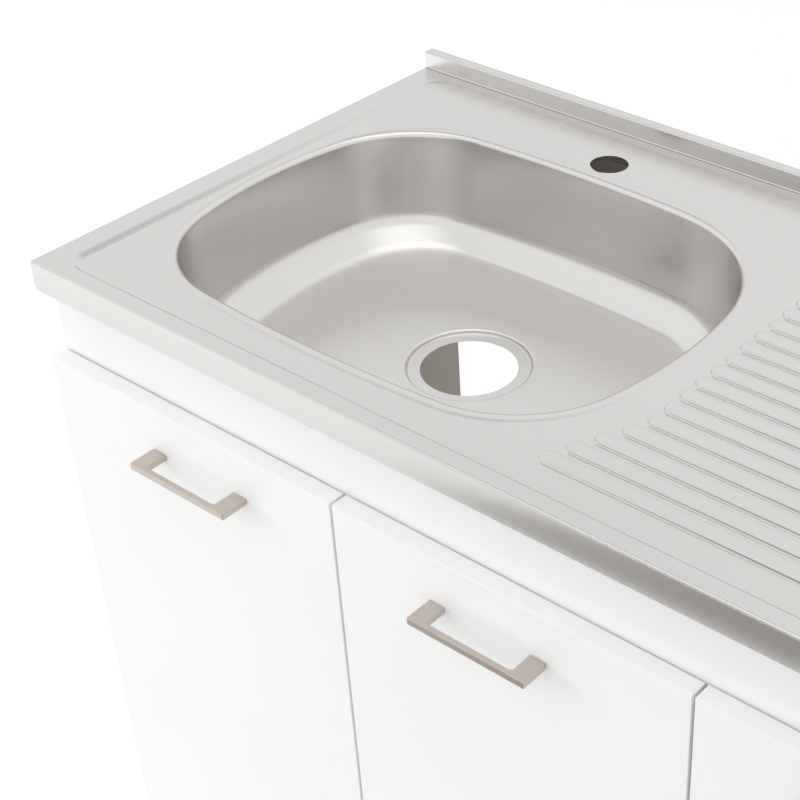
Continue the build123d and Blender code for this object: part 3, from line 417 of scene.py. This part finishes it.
def rib_lines():
    """Start, end and Y of each rib. The outer ribs reach further to the left, round the bowl."""
    middle = RIB_FIRST + RIB_PITCH * (RIB_COUNT - 1) / 2
    for k in range(RIB_COUNT):
        y = RIB_FIRST + k * RIB_PITCH
        outward = max(0.0, abs(y - middle) - RIB_STRAIGHT)
        yield RIB_START - outward * RIB_SLANT, RIB_END, y


def press_ribs(s):
    last = 2 * RIB_END_STEPS + 1
    for start, end, y in rib_lines():
        ids = s.skin([slot_ring(start - out, end + out, y, RIB_FOOT / 2 + out, FIELD + up)
                      for out, up in RIB_PROFILE])
        top = ids[-1]
        for k in range(RIB_END_STEPS):
            s.face((top[k], top[k + 1], top[last - 1 - k], top[last - k]))
        s.loops.append(ids[0])


def punch_tap_hole(s):
    steps = ((0.0012, 0), (HOLE_MARGIN, 0), (0, HOLE_MARGIN), (0, SHEET))
    ids = s.skin([circle_ring(TAP_X, TAP_Y, TAP_RADIUS + out, FIELD - down, TAP_STEPS) for out, down in steps])
    s.loops.append(ids[0])


def press_bowl(s):
    """Bead round the rim, roll, wall, floor fillet, floor and drain recess."""
    rings = [bead_ring(BEAD_START, FIELD)]
    for k in range(BEAD_STEPS):
        t = k / BEAD_STEPS
        rings.append(bead_ring(1 - t, FIELD + BEAD_HEIGHT * math.sin(math.pi * t) ** 2))
    lean = math.degrees(math.atan2(WALL_DRAFT, FIELD - RIM_FALL - WALL_FOOT))
    for a in arc(0, 90 - lean, 9):
        rings.append(bowl_ring(RIM * math.sin(a), FIELD - RIM * (1 - math.cos(a))))
    wall_top = FIELD - RIM
    for k in range(1, WALL_STEPS):
        t = k / WALL_STEPS
        rings.append(bowl_ring(RIM + WALL_DRAFT * t, wall_top + (WALL_FOOT - wall_top) * t))
    for share, fall in fillet_profile():
        rings.append(bowl_ring(RIM + WALL_DRAFT, WALL_FOOT - (WALL_FOOT - FLOOR_EDGE) * fall, share))

    floor_ring = rings[-1]
    centre = Vector((DRAIN_X, DRAIN_Y))
    ways = []
    for x, y, _ in floor_ring:
        a = math.atan2((y - DRAIN_Y) * DRAIN_SPREAD, x - DRAIN_X)
        ways.append(Vector((math.cos(a), math.sin(a))))

    def floor_at(share, z):
        """Ring between the fillet's edge and the drain's lip."""
        ring = []
        for (x, y, _), way in zip(floor_ring, ways):
            place = Vector((x, y)).lerp(centre + way * RECESS_LIP, share)
            ring.append((place.x, place.y, z))
        return ring

    def drain_ring(radius, z):
        return [(DRAIN_X + way.x * radius, DRAIN_Y + way.y * radius, z) for way in ways]

    for share, down in FLOOR_BEND:
        rings.append(floor_at(share, FLOOR_EDGE - down))
    bent, fallen = FLOOR_BEND[-1]
    fall = FLOOR_EDGE - DRAIN_RIM - fallen
    for k in range(1, FLOOR_STEPS + 1):
        t = k / FLOOR_STEPS
        rings.append(floor_at(bent + (1 - bent) * t, FLOOR_EDGE - fallen - fall * (t + FLOOR_SAG * t * (1 - t))))

    for a in arc(0, 78, 6)[1:]:
        rings.append(drain_ring(RECESS_LIP - LIP_ROLL * math.sin(a), DRAIN_RIM - LIP_ROLL * (1 - math.cos(a))))
    low = DRAIN_SEAT + SEAT_BEND
    for a in arc(0, 90, 4):
        rings.append(drain_ring(RECESS_LIP - RECESS_WALL - SEAT_BEND * (1 - math.cos(a)),
                                low - SEAT_BEND * math.sin(a)))
    rings.append(drain_ring(RECESS_LIP - SEAT_START, DRAIN_SEAT))
    for out, down in ((0.0010, 0), (HOLE_MARGIN, 0), (0, HOLE_MARGIN)):
        rings.append(drain_ring(DRAIN_RADIUS + out, DRAIN_SEAT - down))
    s.loops.append(s.skin(rings, around=True)[0])


def fill_field(s, outer):
    """Level field between the step, the ribs, the tap hole and the bowl."""
    loops = [outer] + s.loops
    outlines = [[Vector(s.points[i][:2]) for i in loop] for loop in loops]
    places, owners, edges = [], [], []
    for loop, outline in zip(loops, outlines):
        base = len(places)
        places += outline
        owners += loop
        edges += [(base + k, base + (k + 1) % len(loop)) for k in range(len(loop))]
    verts, _, faces, origins, _, _ = delaunay_2d_cdt(places, edges, [], 0, MERGE)
    point_of = [owners[origin[0]] if origin else None for origin in origins]
    for face in faces:
        centre = sum((verts[i] for i in face), Vector((0, 0))) / len(face)
        if in_loop(centre, outlines[0]) and not any(in_loop(centre, outline) for outline in outlines[1:]):
            ids = [point_of[i] for i in face]
            if None not in ids:
                s.face(ids)


sheet = Sheet()
field_outline = press_border(sheet)
press_ribs(sheet)
punch_tap_hole(sheet)
press_bowl(sheet)
fill_field(sheet, field_outline)
steel = mesh_object("steel_top", sheet.points, sheet.faces, sheet.grain)
if sum(polygon.normal.z * polygon.area for polygon in steel.data.polygons) < 0:
    steel.data.flip_normals()
thick = steel.modifiers.new("sheet", "SOLIDIFY")
thick.thickness = SHEET
thick.offset = -1
apply_modifiers(steel)
for polygon in steel.data.polygons:
    polygon.use_smooth = abs(polygon.normal.z) < LEVEL           # the level faces stay truly flat
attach(steel, "cabinet")
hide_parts("sink_top", "sink_bowl")


def upstand():
    """Folded upstand: bend at its foot, front face, rounded crest and back, closed at both ends."""
    section = [(UPSTAND_FRONT - UPSTAND_TOE, DECK)]
    for a in arc(0, 90, 4):
        section.append((UPSTAND_FRONT - UPSTAND_BEND + UPSTAND_BEND * math.sin(a),
                        DECK + UPSTAND_BEND - UPSTAND_BEND * math.cos(a)))
    round_top = UPSTAND_TOP - UPSTAND_CREST
    for a in arc(0, 90, 5):
        section.append((UPSTAND_FRONT + UPSTAND_CREST - UPSTAND_CREST * math.cos(a),
                        round_top + UPSTAND_CREST * math.sin(a)))
    for a in arc(0, 90, 5):
        section.append((BACK - UPSTAND_CREST + UPSTAND_CREST * math.sin(a),
                        round_top + UPSTAND_CREST * math.cos(a)))
    section.append((BACK, DECK - BEND))
    section.append((UPSTAND_FRONT - UPSTAND_TOE, DECK - SHEET))

    ends = (0.0003, 0.0006)
    inner = 0.002
    stations = [LEFT + end for end in ends]
    stations += [LEFT + inner + (RIGHT - LEFT - 2 * inner) * k / UPSTAND_SPANS for k in range(UPSTAND_SPANS + 1)]
    stations += [RIGHT - end for end in reversed(ends)]
    points = [(x, y, z) for x in stations for y, z in section]
    n = len(section)
    faces = []
    for k in range(len(stations) - 1):
        for i in range(n):
            a, b = k * n + i, k * n + (i + 1) % n
            faces.append((a, b, b + n, a + n))
    faces.append(tuple(range(n)))
    faces.append(tuple(reversed(range(len(points) - n, len(points)))))
    grain = [[(points[i][0], points[i][1] + points[i][2]) for i in face] for face in faces]
    obj = mesh_object("upstand", points, faces, grain)
    for polygon in obj.data.polygons:
        polygon.use_smooth = abs(polygon.normal.x) < 0.5         # the two ends stay flat
    return obj


crest = upstand()
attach(crest, "cabinet")


# ---------------------------------------------------------------- handles
def handle(name, middle):
    """U-shaped bar, seen from above as one outline, with all its edges rounded."""
    half = (HANDLE_CENTRES + HANDLE_WIDTH) / 2
    inner = half - HANDLE_WIDTH
    face = FRONT - HANDLE_REACH
    outline = [(-half, FRONT), (-half, face), (half, face), (half, FRONT), (inner, FRONT)]
    turns = arc(0, 90, 6)
    for side, angles in ((1, turns), (-1, turns[::-1])):
        for a in angles:
            x = inner - HANDLE_INNER * (1 - math.cos(a))
            outline.append((side * x, face + HANDLE_BAR + HANDLE_INNER * (1 - math.sin(a))))
    outline.append((-inner, FRONT))
    low, high = HANDLE_Z - HANDLE_HIGH / 2, HANDLE_Z + HANDLE_HIGH / 2
    n = len(outline)
    points = [(middle + x, y, z) for z in (low, high) for x, y in outline]
    faces = [(k, (k + 1) % n, (k + 1) % n + n, k + n) for k in range(n)]
    faces += [tuple(reversed(range(n))), tuple(range(n, 2 * n))]
    bar = mesh_object(name + "_bar", points, faces)
    edges = bar.modifiers.new("edges", "BEVEL")
    edges.width = HANDLE_EDGE
    edges.segments = 4
    edges.limit_method = "ANGLE"
    edges.angle_limit = math.radians(40)
    edges.harden_normals = True
    apply_modifiers(bar)
    return bar


bars = []
for door in (1, 2, 3):
    name = f"handle_{door}"
    low, high = node_span(name)
    bar = handle(name, (low + high) / 2)
    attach(bar, f"door_{door}")
    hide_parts(name)
    bars.append(bar)


# ---------------------------------------------------------------- shader nodes
def new_material(name):
    material = bpy.data.materials.new(name)
    material.use_nodes = True
    nodes = material.node_tree.nodes
    return material, nodes, material.node_tree.links, nodes["Principled BSDF"]


def stretched(nodes, links, scale=(1, 1, 1)):
    """Object coordinates scaled along each axis."""
    coords = nodes.new("ShaderNodeTexCoord")
    mapping = nodes.new("ShaderNodeMapping")
    mapping.inputs["Scale"].default_value = scale
    links.new(coords.outputs["Object"], mapping.inputs["Vector"])
    return mapping.outputs["Vector"]


def noise(nodes, links, vector, scale=1.0, detail=3.0, roughness=0.5):
    tex = nodes.new("ShaderNodeTexNoise")
    tex.inputs["Scale"].default_value = scale
    tex.inputs["Detail"].default_value = detail
    tex.inputs["Roughness"].default_value = roughness
    links.new(vector, tex.inputs["Vector"])
    return tex.outputs["Fac"]


def ramp(nodes, links, value, stops):
    node = nodes.new("ShaderNodeValToRGB")
    elements = node.color_ramp.elements
    while len(elements) < len(stops):
        elements.new(0.5)
    for element, (place, colour) in zip(elements, stops):
        element.position = place
        element.color = (*colour, 1)
    links.new(value, node.inputs["Fac"])
    return node.outputs["Color"]


def toned(nodes, links, value, low, high):
    """From one colour to the other, over the middle of the value's range."""
    return ramp(nodes, links, value, [(0.3, low), (0.7, high)])


def span(nodes, links, value, low, high):
    node = nodes.new("ShaderNodeMapRange")
    node.inputs["To Min"].default_value = low
    node.inputs["To Max"].default_value = high
    links.new(value, node.inputs["Value"])
    return node.outputs["Result"]


def soft_step(nodes, links, value, edge, low=0, high=1):
    """From low to high while the value goes through the edge."""
    node = nodes.new("ShaderNodeMapRange")
    node.interpolation_type = "SMOOTHSTEP"
    node.inputs["From Min"].default_value, node.inputs["From Max"].default_value = edge
    node.inputs["To Min"].default_value = low
    node.inputs["To Max"].default_value = high
    links.new(value, node.inputs["Value"])
    return node.outputs["Result"]


def math_node(nodes, links, operation, first, second):
    """The second value is a socket or a plain number."""
    node = nodes.new("ShaderNodeMath")
    node.operation = operation
    links.new(first, node.inputs[0])
    if isinstance(second, float):
        node.inputs[1].default_value = second
    else:
        links.new(second, node.inputs[1])
    return node.outputs["Value"]


def along(nodes, links, vector, way):
    """How much of the vector points that way."""
    node = nodes.new("ShaderNodeVectorMath")
    node.operation = "DOT_PRODUCT"
    node.inputs[1].default_value = way
    links.new(vector, node.inputs[0])
    return node.outputs["Value"]


def mixed(nodes, links, share, first, second):
    """From the first colour to the second, which is a socket or a plain colour."""
    node = nodes.new("ShaderNodeMix")
    node.data_type = "RGBA"
    links.new(share, node.inputs["Factor"])
    links.new(first, node.inputs["A"])
    if isinstance(second, tuple):
        node.inputs["B"].default_value = (*second, 1)
    else:
        links.new(second, node.inputs["B"])
    return node.outputs["Result"]


def bump(nodes, links, height, strength, distance, normal=None):
    node = nodes.new("ShaderNodeBump")
    node.inputs["Strength"].default_value = strength
    node.inputs["Distance"].default_value = distance
    links.new(height, node.inputs["Height"])
    if normal is not None:
        links.new(normal, node.inputs["Normal"])
    return node.outputs["Normal"]


def shade(colour, share):
    return tuple(min(1, c * share) for c in colour)


# ---------------------------------------------------------------- materials
def brushed(name, colour, grain, rough, anisotropic=0.5):
    material, nodes, links, shader = new_material(name)
    lines = noise(nodes, links, stretched(nodes, links, grain), detail=4.0, roughness=0.6)
    cloud = noise(nodes, links, stretched(nodes, links), scale=7.0)
    links.new(toned(nodes, links, lines, shade(colour, 0.97), shade(colour, 1.03)), shader.inputs["Base Color"])
    links.new(span(nodes, links, lines, *rough), shader.inputs["Roughness"])
    shader.inputs["Metallic"].default_value = 1.0
    shader.inputs["Anisotropic"].default_value = anisotropic
    fine = bump(nodes, links, lines, strength=0.25, distance=0.00002)
    links.new(bump(nodes, links, cloud, 0.6, 0.00004, fine), shader.inputs["Normal"])
    return material


def sheet_steel(name, colour):
    """Brushed sheet: the grain follows the UV map, and broad soft waves bend the reflections."""
    material, nodes, links, shader = new_material(name)
    grain = nodes.new("ShaderNodeUVMap")
    grain.uv_map = "grain"
    scale = nodes.new("ShaderNodeMapping")
    scale.inputs["Scale"].default_value = (5, 1400, 1)
    links.new(grain.outputs["UV"], scale.inputs["Vector"])
    lines = noise(nodes, links, scale.outputs["Vector"], roughness=0.6)
    cloud = noise(nodes, links, stretched(nodes, links), scale=9.0, detail=2.0)
    smear = noise(nodes, links, stretched(nodes, links, (3, 10, 10)), detail=4.0)
    links.new(toned(nodes, links, lines, shade(colour, 0.985), colour), shader.inputs["Base Color"])
    links.new(span(nodes, links, smear, 0.22, 0.30), shader.inputs["Roughness"])
    shader.inputs["Metallic"].default_value = 1.0
    fine = bump(nodes, links, lines, strength=0.06, distance=0.000005)
    links.new(bump(nodes, links, cloud, 0.35, 0.00012, fine), shader.inputs["Normal"])
    return material


def coated_board(name, colour=WHITE, inner=None):
    """Coated chipboard. The face that looks along inner takes painted shade: a dark olive-grey that stands in for
    the shadow inside the cabinet.
    """
    material, nodes, links, shader = new_material(name)
    grain = noise(nodes, links, stretched(nodes, links), scale=900.0, detail=2.0)
    cloud = noise(nodes, links, stretched(nodes, links), scale=5.0, detail=2.0)
    coat_and_inside_shade = ramp(nodes, links, cloud, [(0.35, shade(colour, 0.985)), (0.65, colour)])
    if inner:
        geometry = nodes.new("ShaderNodeNewGeometry")
        facing = along(nodes, links, geometry.outputs["True Normal"], inner)
        # painted shade on the faces that look into the cabinet
        coat_and_inside_shade = mixed(nodes, links, math_node(nodes, links, "GREATER_THAN", facing, 0.9), coat_and_inside_shade, INSIDE_SHADE)
    links.new(coat_and_inside_shade, shader.inputs["Base Color"])
    links.new(span(nodes, links, grain, 0.30, 0.42), shader.inputs["Roughness"])
    shader.inputs["Specular IOR Level"].default_value = 0.4
    links.new(bump(nodes, links, grain, strength=0.12, distance=0.00004), shader.inputs["Normal"])
    return material


def grained(name, low, high, rough, strength, distance, stretch=(1, 1, 1), **texture):
    """Wood or plastic with one grain for its colour, its gloss and its bump."""
    material, nodes, links, shader = new_material(name)
    grain = noise(nodes, links, stretched(nodes, links, stretch), **texture)
    links.new(toned(nodes, links, grain, low, high), shader.inputs["Base Color"])
    links.new(span(nodes, links, grain, *rough), shader.inputs["Roughness"])
    links.new(bump(nodes, links, grain, strength, distance), shader.inputs["Normal"])
    return material


def moulded(name, colour):
    return grained(name, shade(colour, 0.95), colour, (0.4, 0.5), 0.15, 0.00005, scale=600.0, detail=2.0)


def wear(obj, material):
    obj.data.materials.clear()
    obj.data.materials.append(material)


deck_steel = sheet_steel("deck_steel", STEEL)
nickel = brushed("satin_nickel", (0.60, 0.54, 0.49), (60, 1200, 1200), (0.26, 0.36))
# painted shade: boards inside the cabinet are coloured dark olive-grey all over
board_inside_shade = coated_board("board_inside_shade", INSIDE_SHADE)
by_slot = {
    "steel_sheet": deck_steel,
    "white_board": coated_board("white_board"),
    "handle_metal": nickel,
    "hinge_steel": brushed("plated_steel", (0.72, 0.72, 0.73), (200, 200, 200), (0.12, 0.22), anisotropic=0.0),
    "zinc_steel": brushed("zinc_steel", (0.62, 0.63, 0.64), (300, 300, 300), (0.3, 0.45), anisotropic=0.0),
    "dowel_wood": grained("beech", (0.52, 0.36, 0.20), (0.72, 0.56, 0.36), (0.5, 0.7), 0.3, 0.0001,
                          stretch=(12, 300, 300), detail=4.0),
    "glide_plastic": moulded("grey_plastic", (0.70, 0.70, 0.68)),
    "soft_bumper": moulded("soft_bumper", (0.80, 0.80, 0.79))}
# painted shade on the inner faces of the sides and the front rail, and all over the rear rails, partition, bottom
# panel and shelf
by_name = {
    "side_panel_left": coated_board("board_left", inner=(1, 0, 0)),
    "side_panel_right": coated_board("board_right", inner=(-1, 0, 0)),
    "front_rail": coated_board("board_front", inner=(0, 1, 0)),
    "rear_rail_top": board_inside_shade, "rear_rail_bottom": board_inside_shade, "partition": board_inside_shade,
    "bottom_panel": board_inside_shade, "shelf": board_inside_shade}
slot_of = {part["node"]: part["material_slot"] for part in frame["record"]["subparts"]}
for name, node in frame["nodes"].items():
    wear(node, by_name.get(name, by_slot[slot_of[name]]))
wear(steel, deck_steel)
wear(crest, deck_steel)
for bar in bars:
    wear(bar, nickel)

# ---------------------------------------------------------------- camera
camera = bpy.data.objects.new("camera", bpy.data.cameras.new("camera"))
bpy.context.scene.collection.objects.link(camera)
camera.location = CAMERA_PLACE
camera.rotation_euler = tuple(math.radians(a) for a in CAMERA_TURN)
camera.data.sensor_width = CAMERA_SENSOR
camera.data.lens = CAMERA_LENS
camera.data.shift_x, camera.data.shift_y = CAMERA_SHIFT
camera.data.clip_end = CAMERA_RANGE
bpy.context.scene.camera = camera
bpy.context.scene.view_settings.view_transform = "Standard"

# ---------------------------------------------------------------- studio
lamp_data = bpy.data.lights.new("low_left", "AREA")
lamp_data.shape = "RECTANGLE"
lamp_data.size = lamp_data.size_y = LAMP_SIZE
lamp_data.energy = LAMP_WATTS
lamp = bpy.data.objects.new("low_left", lamp_data)
bpy.context.scene.collection.objects.link(lamp)
lamp.location = LAMP_PLACE
lamp.rotation_euler = (Vector(LAMP_TARGET) - Vector(LAMP_PLACE)).to_track_quat("-Z", "Y").to_euler()
lamp.visible_glossy = False


def grey(light):
    return light, light, light


def studio_world():
    """A pale room with a dark doorway and a dark ceiling fitting, all by direction."""
    world = bpy.data.worlds.new("studio")
    bpy.context.scene.world = world
    world.use_nodes = True
    nodes, links = world.node_tree.nodes, world.node_tree.links
    way = nodes.new("ShaderNodeTexCoord").outputs["Generated"]
    axes = nodes.new("ShaderNodeSeparateXYZ")
    links.new(way, axes.inputs["Vector"])
    height = axes.outputs["Z"]
    front, back = [
        ramp(nodes, links, height, [(place, grey(light)) for place, light in lights])
        for lights in (FRONT_LIGHT, BACK_LIGHT)]
    turn = soft_step(nodes, links, along(nodes, links, way, ROOM_FRONT), ROOM_TURN)
    room = mixed(nodes, links, turn, back, front)

    flat = nodes.new("ShaderNodeVectorMath")
    flat.operation = "MULTIPLY"
    flat.inputs[1].default_value = (1, 1, 0)
    links.new(way, flat.inputs[0])
    heading = nodes.new("ShaderNodeVectorMath")
    heading.operation = "NORMALIZE"
    links.new(flat.outputs["Vector"], heading.inputs[0])
    sides = soft_step(nodes, links, along(nodes, links, heading.outputs["Vector"], DOORWAY_WAY), DOORWAY_SIDES)
    below = soft_step(nodes, links, height, DOORWAY_TOP, low=1, high=0)
    doorway = math_node(nodes, links, "MULTIPLY", sides, below)
    fitting = soft_step(nodes, links, along(nodes, links, way, FITTING_WAY), FITTING_EDGE)
    room = mixed(nodes, links, doorway, room, grey(DOORWAY_LIGHT))
    room = mixed(nodes, links, fitting, room, grey(FITTING_LIGHT))
    links.new(room, nodes["Background"].inputs["Color"])
    nodes["Background"].inputs["Strength"].default_value = 1.0


def pale_floor():
    """White floor with a dark mat in front of the unit."""
    material, nodes, links, shader = new_material("pale_floor")
    place = nodes.new("ShaderNodeTexCoord")
    centred = nodes.new("ShaderNodeMapping")
    centred.inputs["Location"].default_value = (-MAT_X, -MAT_Y, 0)
    links.new(place.outputs["Object"], centred.inputs["Vector"])
    distance = nodes.new("ShaderNodeVectorMath")
    distance.operation = "ABSOLUTE"
    links.new(centred.outputs["Vector"], distance.inputs[0])
    axes = nodes.new("ShaderNodeSeparateXYZ")
    links.new(distance.outputs["Vector"], axes.inputs["Vector"])
    shares = [math_node(nodes, links, "DIVIDE", axes.outputs[axis], half * 2)
              for axis, half in (("X", MAT_HALF_LENGTH), ("Y", MAT_HALF_WIDTH))]
    away = math_node(nodes, links, "MAXIMUM", *shares)
    pale = ramp(nodes, links, away, list(zip(MAT_EDGE, (MAT_GREY, FLOOR_WHITE))))
    links.new(pale, shader.inputs["Base Color"])
    shader.inputs["Roughness"].default_value = 0.8
    shader.inputs["Specular IOR Level"].default_value = 0.0
    return material


studio_world()
floor_mesh = bpy.data.meshes.new("floor")
floor_mesh.from_pydata(
    [(x * FLOOR_REACH, y * FLOOR_REACH, 0) for x, y in ((-1, -1), (1, -1), (1, 1), (-1, 1))], [], [(0, 1, 2, 3)])
floor = bpy.data.objects.new("floor", floor_mesh)
bpy.context.scene.collection.objects.link(floor)
wear(floor, pale_floor())
